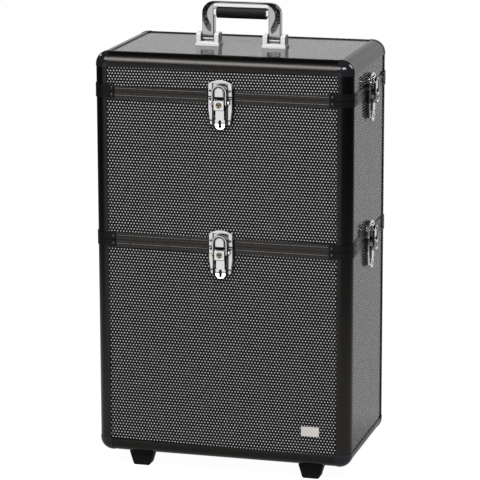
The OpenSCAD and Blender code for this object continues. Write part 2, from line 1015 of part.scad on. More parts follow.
module hinge_lower_leaves() {
    color("Gainsboro")
        translate([0, case_y, 0])
            for (s = [-1, 1])
                translate([s * hinge_x, 0, 0]) {
                    translate([-leaf_w / 2, case_d / 2, z_lid - leaf_h])
                        cube([leaf_w, leaf_t, leaf_h - hinge_out - 0.6]);
                    leaf_pad(-1, box_rim_h);
                    for (x = [-leaf_w / 2, mid_knuckle / 2 + knuckle_gap])
                        translate([x, case_d / 2, z_lid - hinge_out - 1])
                            cube([(leaf_w - mid_knuckle) / 2 - knuckle_gap, hinge_out - 1, hinge_out + 0.7]);
                    hinge_bar(-leaf_w / 2, -mid_knuckle / 2 - knuckle_gap, knuckle_r);
                    hinge_bar(mid_knuckle / 2 + knuckle_gap, leaf_w / 2, knuckle_r);
                    hinge_bar(-leaf_w / 2, leaf_w / 2, hinge_pin_r);
                }
}

module hinge_upper_leaves() {
    color("Gainsboro")
        translate([0, case_y, 0])
            for (s = [-1, 1])
                translate([s * hinge_x, 0, 0]) {
                    translate([-leaf_w / 2, case_d / 2, z_lid + hinge_out + 0.6])
                        cube([leaf_w, leaf_t, leaf_h - hinge_out - 0.6]);
                    leaf_pad(1, lid_rim_h);
                    difference() {
                        union() {
                            translate([-mid_knuckle / 2, case_d / 2, z_lid + 0.4])
                                cube([mid_knuckle, hinge_out - 1, hinge_out + 0.6]);
                            hinge_bar(-mid_knuckle / 2, mid_knuckle / 2, knuckle_r);
                        }
                        hinge_bar(-leaf_w, leaf_w, hinge_pin_r + pin_clear);
                    }
                }
}

// Handle brackets: blocks on the lid with an open notch for each arm
module handle_brackets() {
    bore_half = handle_pin_half + 0.5;
    sole = 1;
    color("Gainsboro")
        translate([0, case_y, z_top])
            for (s = [-1, 1])
                translate([s * handle_x, 0, 0])
                    difference() {
                        union() {
                            translate([-bracket_w / 2 - sole, -bracket_d / 2 - sole, -flange_t])
                                cube([bracket_w + 2 * sole, bracket_d + 2 * sole, flange_t + 2]);
                            translate([-bracket_w / 2, -bracket_d / 2, -flange_t])
                                cube([bracket_w, bracket_d, bracket_h + flange_t - 2]);
                            translate([-bracket_w / 2, -bracket_d / 2 + 2, 0])
                                cube([bracket_w, bracket_d - 4, bracket_h]);
                        }
                        translate([-notch_w / 2, -bracket_d, notch_z])
                            cube([notch_w, 2 * bracket_d, bracket_h]);
                        translate([-bore_half, 0, handle_pin_z])
                            rotate([0, 90, 0])
                                cylinder(r = handle_pin_r + pin_clear, h = 2 * bore_half, $fn = 32);
                    }
}

// The handle outline seen from the front, measured from the lid upward
module handle_outline() {
    corner = 17;
    in_x = handle_w / 2 - arm_w;
    inner = in_x - grip_l / 2;
    difference() {
        union() {
            translate([-handle_w / 2, handle_pin_z])
                square([handle_w, handle_top - corner - handle_pin_z]);
            translate([-handle_w / 2 + corner, bar_z - 10])
                square([handle_w - 2 * corner, handle_top - bar_z + 10]);
            for (s = [-1, 1])
                translate([s * (handle_w / 2 - corner), handle_top - corner])
                    circle(r = corner);
        }
        translate([-in_x, 0])
            square([2 * in_x, bar_z - inner]);
        translate([-in_x + inner, 0])
            square([2 * in_x - 2 * inner, bar_z]);
        for (s = [-1, 1])
            translate([s * (in_x - inner), bar_z - inner])
                circle(r = inner, $fn = 32);
    }
}

module handle_frame() {
    lug_l = handle_w / 2 - arm_w - grip_l / 2 + 1.5;
    color("Gainsboro")
        translate([0, case_y, z_top]) {
            translate([0, arm_t / 2, 0])
                rotate([90, 0, 0])
                    linear_extrude(height = arm_t)
                        handle_outline();
            for (s = [-1, 1]) {
                translate([s * handle_x - arm_w / 2, 0, handle_pin_z])
                    rotate([0, 90, 0])
                        cylinder(r = arm_t / 2, h = arm_w);
                translate([s * handle_x - handle_pin_half, 0, handle_pin_z])
                    rotate([0, 90, 0])
                        cylinder(r = handle_pin_r, h = 2 * handle_pin_half, $fn = 32);
                translate([s > 0 ? grip_l / 2 : -grip_l / 2 - lug_l, -arm_t / 2, bar_z - lug_low])
                    cube([lug_l, arm_t, lug_h]);
            }
        }
}

module handle_grip() {
    grip_r = 9;
    color("#181818")
        translate([-grip_l / 2, case_y, z_top])
            intersection() {
                translate([0, 0, bar_z - 7.5])
                    rotate([0, 90, 0])
                        cylinder(r = grip_r, h = grip_l);
                translate([0, -grip_r, bar_z - 2 * grip_r])
                    cube([grip_l, 2 * grip_r, 2 * grip_r]);
            }
}

// Wheels: a ring tyre on a hub that carries its own axle
module tyre(s) {
    translate([s * wheel_x - wheel_w / 2, wheel_y + case_y, wheel_r])
        rotate([0, 90, 0])
            rotate_extrude()
                polygon([
                    [hub_face_r, 0], [wheel_r - 2, 0], [wheel_r, 2],
                    [wheel_r, wheel_w - 2], [wheel_r - 2, wheel_w], [hub_face_r, wheel_w]
                ]);
}

module hub(s) {
    translate([s * wheel_x, wheel_y + case_y, wheel_r])
        rotate([0, 90, 0]) {
            difference() {
                translate([0, 0, -wheel_w / 2])
                    cylinder(r = hub_face_r, h = wheel_w);
                for (side = [-1, 1])
                    translate([0, 0, side > 0 ? wheel_w / 2 - 3 : -wheel_w / 2 - 1])
                        difference() {
                            cylinder(r = hub_face_r - 3, h = 4);
                            cylinder(r = 6, h = 4);
                        }
            }
            translate([0, 0, -wheel_w / 2 - 1])
                cylinder(r = 6, h = wheel_w + 2);
            translate([0, 0, -house_w / 2 + 1.5])
                cylinder(r = axle_r, h = house_w - 3);
        }
}

module left_tyre() {
    color("#181818")
        tyre(-1);
}

module right_tyre() {
    color("#181818")
        tyre(1);
}

module left_hub() {
    color("SlateGray")
        hub(-1);
}

module right_hub() {
    color("SlateGray")
        hub(1);
}

// A rectangular tube that stands on Z = 0, centred on its own axis
module box_tube(size, wall, h) {
    difference() {
        translate([-size[0] / 2, -size[1] / 2, 0])
            cube([size[0], size[1], h]);
        translate([-size[0] / 2 + wall, -size[1] / 2 + wall, -1])
            cube([size[0] - 2 * wall, size[1] - 2 * wall, h + 2]);
    }
}

module two_tubes(size, wall, z0, z1) {
    for (s = [-1, 1])
        translate([s * tube_x, tube_y + case_y, z0])
            box_tube(size, wall, z1 - z0);
}

module trolley_outer_tubes() {
    color("Silver")
        two_tubes(outer_tube, outer_wall, tube_low, tube_high);
}

// The blocks that hold the outer tubes against the rear of the lower case
module trolley_brackets() {
    collar_h = 24;
    collar_d = tube_y - case_d / 2 + outer_tube[1] / 2 + 2;
    wide = outer_tube[0] + 8;
    collar_z = tube_high - collar_h;
    color("#202020")
        translate([0, case_y, 0])
            difference() {
                union() {
                    translate([-tube_x - wide / 2, case_d / 2, collar_z])
                        cube([2 * tube_x + wide, collar_d, collar_h]);
                    translate([-tube_x - wide / 2, case_d / 2 - flange_t, collar_z])
                        cube([2 * tube_x + wide, flange_t + eps, z_mid - box_rim_h - pad_gap - collar_z]);
                    for (s = [-1, 1])
                        translate([s * tube_x - wide / 2, case_d / 2 - flange_t, tube_low - 4])
                            cube([wide, collar_d + flange_t, shoe_h]);
                }
                for (s = [-1, 1])
                    translate([s * tube_x - outer_tube[0] / 2, tube_y - outer_tube[1] / 2, tube_low])
                        cube([outer_tube[0], outer_tube[1], z_mid]);
            }
}

module trolley_mid_tubes() {
    color("LightGray")
        two_tubes(mid_tube, mid_wall, tube_low + 4, tube_high + 6);
}

module trolley_inner_tubes() {
    color("LightGray")
        two_tubes(in_tube, in_wall, tube_low + 8, pull_z);
}

// The outline of the release button, or of the space around it
module button_space(grow, h) {
    linear_extrude(height = h)
        union() {
            square([button_l - button_d, button_d + 2 * grow], center = true);
            for (s = [-1, 1])
                translate([s * (button_l - button_d) / 2, 0])
                    circle(r = button_d / 2 + grow, $fn = 32);
        }
}

module trolley_grip() {
    bar_low = pull_z + pull_gap;
    y0 = case_d / 2 + pull_stand;
    color("#202020")
        translate([0, case_y, 0])
            difference() {
                union() {
                    for (s = [-1, 1])
                        translate([s > 0 ? pull_half - pull_leg_w : -pull_half, y0, pull_z])
                            cube([pull_leg_w, pull_depth - 2, pull_gap + 1]);
                    translate([-pull_half, y0 + pull_depth / 2, bar_low + pull_bar_h / 2])
                        rotate([0, 90, 0])
                            intersection() {
                                cylinder(r = pull_bar_h / 2, h = 2 * pull_half);
                                translate([-pull_bar_h / 2, -pull_depth / 2, 0])
                                    cube([pull_bar_h, pull_depth, 2 * pull_half]);
                            }
                }
                translate([0, y0 + pull_depth / 2, bar_low + pull_bar_h - button_h - button_stroke - 1])
                    button_space(button_gap, button_h + button_stroke + 2);
            }
}

module release_button() {
    button_z = pull_z + pull_gap + pull_bar_h - button_h + 1;
    color("Gray")
        translate([0, case_y + case_d / 2 + pull_stand + pull_depth / 2, button_z])
            button_space(0, button_h);
}

module lid_front_lever() {
    color("WhiteSmoke")
        translate([0, case_y, 0])
            at_front(z_lid)
                lever();
}

module lid_front_bail() {
    color("WhiteSmoke")
        translate([0, case_y, 0])
            at_front(z_lid)
                bail();
}

module lid_front_plug() {
    color("Goldenrod")
        translate([0, case_y, 0])
            at_front(z_lid)
                plug();
}

module lid_left_lever() {
    color("WhiteSmoke")
        translate([0, case_y, 0])
            at_left(z_lid)
                lever();
}

module lid_left_bail() {
    color("WhiteSmoke")
        translate([0, case_y, 0])
            at_left(z_lid)
                bail();
}

module lid_left_plug() {
    color("Goldenrod")
        translate([0, case_y, 0])
            at_left(z_lid)
                plug();
}

module lid_right_lever() {
    color("WhiteSmoke")
        translate([0, case_y, 0])
            at_right(z_lid)
                lever();
}

module lid_right_bail() {
    color("WhiteSmoke")
        translate([0, case_y, 0])
            at_right(z_lid)
                bail();
}

module lid_right_plug() {
    color("Goldenrod")
        translate([0, case_y, 0])
            at_right(z_lid)
                plug();
}

module mid_front_lever() {
    color("WhiteSmoke")
        translate([0, case_y, 0])
            at_front(z_mid)
                lever();
}

module mid_front_bail() {
    color("WhiteSmoke")
        translate([0, case_y, 0])
            at_front(z_mid)
                bail();
}

module mid_front_plug() {
    color("Goldenrod")
        translate([0, case_y, 0])
            at_front(z_mid)
                plug();
}

module mid_left_lever() {
    color("WhiteSmoke")
        translate([0, case_y, 0])
            at_left(z_mid)
                lever();
}

module mid_left_bail() {
    color("WhiteSmoke")
        translate([0, case_y, 0])
            at_left(z_mid)
                bail();
}

module mid_left_plug() {
    color("Goldenrod")
        translate([0, case_y, 0])
            at_left(z_mid)
                plug();
}

module mid_right_lever() {
    color("WhiteSmoke")
        translate([0, case_y, 0])
            at_right(z_mid)
                lever();
}

module mid_right_bail() {
    color("WhiteSmoke")
        translate([0, case_y, 0])
            at_right(z_mid)
                bail();
}

module mid_right_plug() {
    color("Goldenrod")
        translate([0, case_y, 0])
            at_right(z_mid)
                plug();
}

lower_panels();
lower_frame();
lower_rim();
lower_ball_corners();
lower_corner_clips();
lower_lining();
lower_rivets();
front_feet();
wheel_housings();
badge_plate();
mid_latch_bases();
trolley_brackets();
trolley_outer_tubes();
upper_panels();
upper_frame();
upper_rims();
upper_corner_clips();
upper_lining();
upper_rivets();
mid_latch_keepers();
lid_latch_bases();
hinge_lower_leaves();
lid_panels();
lid_frame();
lid_rim();
lid_ball_corners();
lid_corner_clips();
lid_lining();
lid_rivets();
lid_latch_keepers();
handle_brackets();
hinge_upper_leaves();
lid_front_lever();
lid_front_bail();
lid_front_plug();
lid_left_lever();
lid_left_bail();
lid_left_plug();
lid_right_lever();
lid_right_bail();
lid_right_plug();
mid_front_lever();
mid_front_bail();
mid_front_plug();
mid_left_lever();
mid_left_bail();
mid_left_plug();
mid_right_lever();
mid_right_bail();
mid_right_plug();
handle_frame();
handle_grip();
left_tyre();
left_hub();
right_tyre();
right_hub();
trolley_mid_tubes();
trolley_inner_tubes();
trolley_grip();
release_button();
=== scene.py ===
"""Looks for the two-piece beauty case: materials, a smooth carry handle, light and camera."""

import json
import math

import bmesh
import bpy
from mathutils import Euler, Matrix, Vector


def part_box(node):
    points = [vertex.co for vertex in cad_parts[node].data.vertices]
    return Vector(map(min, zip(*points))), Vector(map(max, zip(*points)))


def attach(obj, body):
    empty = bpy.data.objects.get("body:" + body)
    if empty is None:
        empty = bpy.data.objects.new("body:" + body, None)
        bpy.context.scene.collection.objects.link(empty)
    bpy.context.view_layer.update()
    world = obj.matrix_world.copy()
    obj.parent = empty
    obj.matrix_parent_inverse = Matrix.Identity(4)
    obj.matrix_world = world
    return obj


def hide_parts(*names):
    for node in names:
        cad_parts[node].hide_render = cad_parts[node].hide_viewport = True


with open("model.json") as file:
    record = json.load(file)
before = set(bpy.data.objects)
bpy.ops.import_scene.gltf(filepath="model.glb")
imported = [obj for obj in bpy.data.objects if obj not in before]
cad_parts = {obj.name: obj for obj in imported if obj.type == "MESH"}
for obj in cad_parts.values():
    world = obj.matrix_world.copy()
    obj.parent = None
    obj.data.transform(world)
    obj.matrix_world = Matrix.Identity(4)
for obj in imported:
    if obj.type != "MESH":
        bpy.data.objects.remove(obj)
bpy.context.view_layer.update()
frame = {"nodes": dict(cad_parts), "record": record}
NODES = frame["nodes"]
scene = bpy.context.scene


# Places on the case, in metres, from the frame. A seam lies midway between the two parts that it divides
LOWER_BOX, UPPER_BOX, LID_BOX = [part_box(node) for node in ("lower_frame", "upper_frame", "lid_frame")]
CASE_Y = (LID_BOX[0].y + LID_BOX[1].y) / 2
HALF_W = LID_BOX[1].x
HALF_D = LID_BOX[1].y - CASE_Y
MID_SEAM = (LOWER_BOX[1].z + UPPER_BOX[0].z) / 2
LID_SEAM = (UPPER_BOX[1].z + LID_BOX[0].z) / 2
LID_TOP = LID_BOX[1].z

# The carry handle: its ends, and the sizes of its arms, bar, bends, pins and lugs
HANDLE_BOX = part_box("handle_frame")
PIN_OUT = 0.0045
HANDLE_HALF = HANDLE_BOX[1].x - PIN_OUT
HANDLE_LOW = LID_TOP + 0.0055
HANDLE_TOP = HANDLE_BOX[1].z
DEPTH = HANDLE_BOX[1].y - CASE_Y
ARM = 0.0175
BAR = 0.008
BAR_Z = HANDLE_TOP - BAR
OUTER_BEND = 0.017
INNER_BEND = 0.004
BAR_ROUND = 0.003
ARM_ROUND = 0.0010
INNER_ROUND = 0.0012
PIN_Z = HANDLE_LOW + DEPTH
PIN_R = 0.002
PIN_HALF = ARM / 2 + PIN_OUT
PIN_CUT = 0.0004
GRIP_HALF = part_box("handle_grip")[1].x
LUG_END = 0.042
LUG_CUT = 0.0022
LUG_TOP = BAR_Z - 0.003
LUG_LOW = BAR_Z - 0.013

# The latches: distances from their seam, half widths, and distances out from the wall of the case
SEAM_LINE = 0.0005
LEVER_TOP = 0.0038
TONGUE_HALF = 0.0077
TONGUE_LOW = 0.0062
BLOCK_LOW = 0.0190
TIP_TOP = 0.0380
PLUG_DROP = 0.0115
PLUG_FACE = 0.01205
PLUG_EDGE = 0.0031
BAIL_HALF = 0.0099
BAIL_BEND = 0.006
BAIL_OUT = 0.0108


# Node helpers


class Tree:
    """A small wrapper that adds shader nodes and links them in one call."""

    def __init__(self, owner):
        owner.use_nodes = True
        self.tree = owner.node_tree
        self.tree.nodes.clear()

    def add(self, kind, inputs=None, **props):
        node = self.tree.nodes.new(kind)
        for key, value in props.items():
            setattr(node, key, value)
        for key, value in (inputs or {}).items():
            self.put(node.inputs[key], value)
        return node

    def put(self, socket, value):
        if isinstance(value, bpy.types.Node):
            value = value.outputs[0]
        if isinstance(value, bpy.types.NodeSocket):
            self.tree.links.new(value, socket)
        else:
            socket.default_value = value

    def math(self, operation, a, b=0.0):
        return self.add("ShaderNodeMath", {0: a, 1: b}, operation=operation).outputs[0]

    def times(self, first, *others):
        for value in others:
            first = self.math("MULTIPLY", first, value)
        return first

    def gap(self, a, b=0.0):
        """The distance between two values."""
        return self.math("ABSOLUTE", self.math("SUBTRACT", a, b))

    def length(self, a, b):
        return self.math("SQRT", self.math("ADD", self.times(a, a), self.times(b, b)))

    def vmath(self, operation, a, b=(0, 0, 0)):
        node = self.add("ShaderNodeVectorMath", {0: a, 1: b}, operation=operation)
        return node.outputs["Value" if operation == "DOT_PRODUCT" else "Vector"]

    def smooth(self, value, low, high, to_low=0.0, to_high=1.0):
        inputs = {"Value": value, "From Min": low, "From Max": high, "To Min": to_low, "To Max": to_high}
        return self.add("ShaderNodeMapRange", inputs, interpolation_type="SMOOTHSTEP").outputs[0]

    def mix(self, factor, a, b):
        node = self.add("ShaderNodeMix", data_type="RGBA")
        for k, value in ((0, factor), (6, a), (7, b)):
            self.put(node.inputs[k], value)
        return node.outputs[2]

    def lerp(self, factor, a, b):
        node = self.add("ShaderNodeMix", data_type="FLOAT")
        for k, value in ((0, factor), (2, a), (3, b)):
            self.put(node.inputs[k], value)
        return node.outputs[0]

    def noise(self, scale, detail=3.0, rough=0.55, stretch=(1, 1, 1)):
        point = self.add("ShaderNodeTexCoord").outputs["Object"]
        if stretch != (1, 1, 1):
            point = self.vmath("MULTIPLY", point, stretch)
        inputs = {"Vector": point, "Scale": scale, "Detail": detail, "Roughness": rough}
        return self.add("ShaderNodeTexNoise", inputs).outputs["Fac"]

    def bump(self, height, distance, strength=1.0):
        inputs = {"Height": height, "Distance": distance, "Strength": strength}
        return self.add("ShaderNodeBump", inputs).outputs[0]

    def place(self):
        """The shaded point's coordinates on its piece, in metres."""
        point = self.add("ShaderNodeTexCoord").outputs["Object"]
        return self.add("ShaderNodeSeparateXYZ", {0: point}).outputs

    def facing(self):
        """The direction that the shaded face looks in, on its piece."""
        normal = self.add("ShaderNodeTexCoord").outputs["Normal"]
        return self.add("ShaderNodeSeparateXYZ", {0: normal}).outputs

    def worn(self, low, high):
        """A roughness that varies in small patches."""
        return self.smooth(self.noise(160.0, 3.0, 0.5), 0.35, 0.75, low, high)

    def clear_of_painted_shade(self, low, high, reach=0.006):
        """1 in the open and 0 in narrow gaps and recesses, by ambient occlusion. The platings use it to
        paint shade there, where plating mirrors itself.
        """
        sky = self.add("ShaderNodeAmbientOcclusion", {"Distance": reach}, samples=8).outputs["AO"]
        return self.smooth(sky, low, high)

    def lean(self, amount, direction):
        """The shading normal, pushed towards a direction that is fixed to the piece."""
        push = self.vmath("SCALE", direction)
        self.put(push.node.inputs["Scale"], amount)
        bent = self.vmath("ADD", self.add("ShaderNodeTexCoord").outputs["Normal"], push)
        node = self.add("ShaderNodeVectorTransform", {0: self.vmath("NORMALIZE", bent)},
                        vector_type="NORMAL", convert_from="OBJECT", convert_to="WORLD")
        return node.outputs[0]

    def surface(self, shader):
        self.add("ShaderNodeOutputMaterial", {"Surface": shader})


def grey(value, warm=0.0):
    return (value * (1 + warm), value, value * (1 - warm), 1.0)


def new_material(name):
    material = bpy.data.materials.new(name)
    return material, Tree(material)


# Materials

DOT_R = 0.00082
DOT_BLUR = 0.00012
DOT_PALE = 0.45
THREAD = 0.0012

# A face counts as looking along an axis when its normal reaches further along that axis than this
SQUARE_ON = 0.7

# Rivets that lie further from the middle of the case than both of these are on the corner clips
CLIP_X = 0.150
CLIP_Y = 0.060

# The two steps from a dot to its neighbours in the next rows, and one dot's place, in millimetres
LATTICES = {
    "lid_panels": ((2.250, 4.077), (2.173, -4.026), (0.51, 3.00)),
    "upper_panels": ((2.256, 4.057), (2.216, -4.097), (0.39, 0.61)),
    "lower_panels": ((2.280, 4.110), (2.200, -4.160), (-0.10, 2.00)),
}


def face_plane(t):
    """Two coordinates in the plane of whichever flat face is shaded: across it and up it."""
    point = t.place()
    facing = t.facing()
    on_side = t.math("GREATER_THAN", t.math("ABSOLUTE", facing[0]), SQUARE_ON)
    on_top = t.math("GREATER_THAN", t.math("ABSOLUTE", facing[2]), SQUARE_ON)
    return t.lerp(on_side, point[0], point[1]), t.lerp(on_top, point[2], point[1])


def dotted_sheet(name):
    """Black glossy sheet with staggered pale dots, in rows that follow whichever face they are on."""
    material, t = new_material("dotted_" + name)
    (ax, az), (bx, bz), (ox, oz) = [(u / 1000, v / 1000) for u, v in LATTICES[name]]
    area = ax * bz - bx * az
    across, along = face_plane(t)
    x = t.math("SUBTRACT", across, ox)
    z = t.math("SUBTRACT", along, oz)
    # The way from the nearest dot, counted in the two steps between dots and then in metres
    steps = []
    for px, pz in ((bz, -bx), (-az, ax)):
        count = t.math("ADD", t.times(x, px / area), t.times(z, pz / area))
        steps.append(t.math("SUBTRACT", t.math("FRACT", t.math("ADD", count, 0.5)), 0.5))
    u = t.math("ADD", t.times(steps[0], ax), t.times(steps[1], bx))
    v = t.math("ADD", t.times(steps[0], az), t.times(steps[1], bz))
    dot = t.smooth(t.length(u, v), DOT_R + DOT_BLUR, DOT_R - DOT_BLUR)
    pale = t.mix(t.noise(900.0, 2.0), grey(DOT_PALE * 0.9), grey(DOT_PALE * 1.1))
    dark = t.mix(t.noise(300.0, 3.0), grey(0.005), grey(0.008))
    shader = t.add("ShaderNodeBsdfPrincipled", {
        "Base Color": t.mix(dot, dark, pale),
        "Roughness": t.smooth(t.noise(40.0, 4.0), 0.3, 0.7, 0.09, 0.14),
        "Specular IOR Level": 0.10,
        "Normal": t.bump(t.noise(120.0, 1.0), 0.000007, 0.5),
    })
    t.surface(shader)
    return material


def anodised(name, low, high, rough, streak=(1, 1, 1)):
    """Satin anodised aluminium with fine drawing lines."""
    material, t = new_material(name)
    lines = t.noise(1500.0, 2.0, 0.5, streak)
    broad = t.noise(18.0, 3.0)
    shader = t.add("ShaderNodeBsdfPrincipled", {
        "Base Color": t.mix(broad, grey(low, 0.05), grey(high, 0.05)),
        "Metallic": 1.0,
        "Roughness": t.smooth(lines, 0.3, 0.7, rough - 0.02, rough + 0.02),
        "Normal": t.bump(lines, 0.000001, 0.3),
    })
    t.surface(shader)
    return material


def bright_plating():
    """Plating of the hinge leaves, which share the latches' slot. It is nearly a mirror, with shade painted
    dark into narrow gaps and recesses."""
    material, t = new_material("latch_plating")
    bright = t.mix(t.noise(30.0), (0.88, 0.88, 0.89, 1), (0.94, 0.94, 0.95, 1))
    shader = t.add("ShaderNodeBsdfPrincipled", {
        # Painted shade: dark grey in gaps and recesses, found by ambient occlusion
        "Base Color": t.mix(t.clear_of_painted_shade(0.25, 0.80, 0.007), grey(0.03), bright),
        "Metallic": 1.0,
        "Roughness": t.worn(0.16, 0.21),
        "Normal": t.bump(t.noise(45.0, 1.0), 0.00003, 0.1),
    })
    t.surface(shader)
    return material


def stand_off(t, point):
    """How far the shaded point stands out from the front or the side wall of the case."""
    front = t.math("SUBTRACT", t.math("SUBTRACT", CASE_Y, point[1]), HALF_D)
    return t.math("MAXIMUM", front, t.math("SUBTRACT", t.math("ABSOLUTE", point[0]), HALF_W))


def from_middle(t, point):
    """How far the shaded point lies to either side of the middle of its latch."""
    return t.math("MINIMUM", t.math("ABSOLUTE", point[0]), t.gap(point[1], CASE_Y))


def latch_plating(name, seam):
    """Plating of the latch plates. Shade is painted dark on their recessed floors, except high up and along
    the middle down to just below the seam. A painted shadow line runs along the seam, and gaps get painted
    shade."""
    material, t = new_material(name)
    point = t.place()
    # Painted shade: recessed floors, gaps and a line along the seam turn dark grey; parts standing out, the
    # top and the tongue keep the plating's colour
    proud = t.smooth(stand_off(t, point), 0.0022, 0.0040)
    above = t.smooth(point[2], seam + 0.0095, seam + 0.0110)
    tongue = t.times(t.smooth(from_middle(t, point), TONGUE_HALF + 0.0003, TONGUE_HALF - 0.0003),
                     t.smooth(point[2], seam - TONGUE_LOW - 0.0002, seam - TONGUE_LOW + 0.0002))
    pale = t.math("MAXIMUM", t.math("MAXIMUM", proud, above), tongue)
    off_painted_seam_shadow = t.smooth(t.gap(point[2], seam - SEAM_LINE), 0.0007, 0.0011)
    light = t.times(pale, off_painted_seam_shadow, t.clear_of_painted_shade(0.35, 0.80))
    shader = t.add("ShaderNodeBsdfPrincipled", {
        "Base Color": t.mix(light, grey(0.05, 0.05), t.mix(t.noise(30.0), grey(0.80), grey(0.88))),
        "Metallic": 1.0,
        "Roughness": t.worn(0.20, 0.26),
    })
    t.surface(shader)
    return material


def lever_plating(name, seam):
    """Plating of a lever, with a painted shadow line under its lock block, and painted shade on its top end
    and in gaps. At the tip of a front lever the shading is tilted upward, so it mirrors the lights above,
    and its colour there is darker."""
    material, t = new_material(name)
    point = t.place()
    # Painted shade: a dark line under the lock block, the top end next to the seam and the gaps turn dark
    # grey
    off_painted_shadow_line = t.smooth(t.gap(point[2], seam - BLOCK_LOW), 0.0004, 0.0009)
    below_painted_top_shade = t.smooth(point[2], seam - LEVER_TOP + 0.0004, seam - LEVER_TOP - 0.0004)
    light = t.times(off_painted_shadow_line, below_painted_top_shade, t.clear_of_painted_shade(0.30, 0.70))
    at_front = t.math("LESS_THAN", t.math("ABSOLUTE", point[0]), 0.05)
    tip = t.times(t.smooth(point[2], seam - TIP_TOP + 0.0025, seam - TIP_TOP - 0.0025), at_front)
    shader = t.add("ShaderNodeBsdfPrincipled", {
        "Base Color": t.mix(light, grey(0.10, 0.05), t.mix(tip, grey(0.90), grey(0.50))),
        "Metallic": 1.0,
        "Roughness": t.worn(0.20, 0.26),
        "Normal": t.lean(tip, (0, 0, 0.6)),
    })
    t.surface(shader)
    return material


def bail_plating(name, seam, across):
    """Plating of a round bail, with a painted highlight: a light line along its middle between two painted
    dark edges, and painted shade where it lies close to the wall of the case.
    """
    material, t = new_material(name)
    point = t.place()
    sideways = t.math("SUBTRACT", point[across], (0.0, CASE_Y)[across])
    rise = t.math("MAXIMUM", t.math("SUBTRACT", point[2], seam + BAIL_BEND), 0.0)
    # Painted highlight along the middle of the tube and painted shade on its edges and close to the wall
    middle = t.smooth(t.gap(t.length(sideways, rise), BAIL_HALF), 0.0008, 0.0004)
    light = t.times(middle, t.math("GREATER_THAN", stand_off(t, point), BAIL_OUT))
    shader = t.add("ShaderNodeBsdfPrincipled", {
        "Base Color": t.mix(light, grey(0.07, 0.05), grey(0.80)),
        "Metallic": 1.0,
        "Roughness": t.worn(0.18, 0.24),
    })
    t.surface(shader)
    return material


def lock_brass():
    """Brass of the lock plugs, with shade painted black inside the keyway, and black towards the edge."""
    material, t = new_material("lock_brass")
    point = t.place()
    seam = t.lerp(t.math("GREATER_THAN", point[2], (LID_SEAM + MID_SEAM) / 2), MID_SEAM, LID_SEAM)
    drop = t.math("SUBTRACT", t.math("SUBTRACT", seam, PLUG_DROP), point[2])
    reach = t.length(from_middle(t, point), drop)
    # Only the plug's front face is brass; the keyway behind it gets painted black shade
    face = t.times(t.smooth(stand_off(t, point), PLUG_FACE - 0.00015, PLUG_FACE + 0.00015),
                   t.smooth(reach, PLUG_EDGE + 0.0003, PLUG_EDGE - 0.0003))
    brass = t.mix(t.noise(300.0), (0.62, 0.42, 0.17, 1), (0.86, 0.66, 0.32, 1))
    shader = t.add("ShaderNodeBsdfPrincipled", {
        "Base Color": t.mix(face, grey(0.006), brass),
        "Metallic": face,
        "Roughness": t.worn(0.22, 0.30),
    })
    t.surface(shader)
    return material


def rivet_steel():
    """Rivet heads: paler on the latches and hinges, darkened on the black corner clips."""
    material, t = new_material("rivet_steel")
    point = t.place()
    on_clip = t.times(t.math("GREATER_THAN", t.math("ABSOLUTE", point[0]), CLIP_X),
                      t.math("GREATER_THAN", t.gap(point[1], CASE_Y), CLIP_Y))
    shader = t.add("ShaderNodeBsdfPrincipled", {
        "Base Color": t.mix(on_clip, t.mix(t.noise(90.0), grey(0.10), grey(0.14)), grey(0.06)),
        "Metallic": 1.0,
        "Roughness": t.smooth(t.noise(700.0, 2.0), 0.3, 0.7, 0.32, 0.40),
    })
    t.surface(shader)
    return material


# Circles that bound the painted dark reflections on the handle: distance from its middle, height over the
# lid, radius
LEAF_OUTSIDE = (0.0565, 0.0245, 0.0123)
LEAF_INSIDE = (0.0351, 0.0360, 0.0207)
CRESCENT = (0.0330, 0.0435, 0.0173)


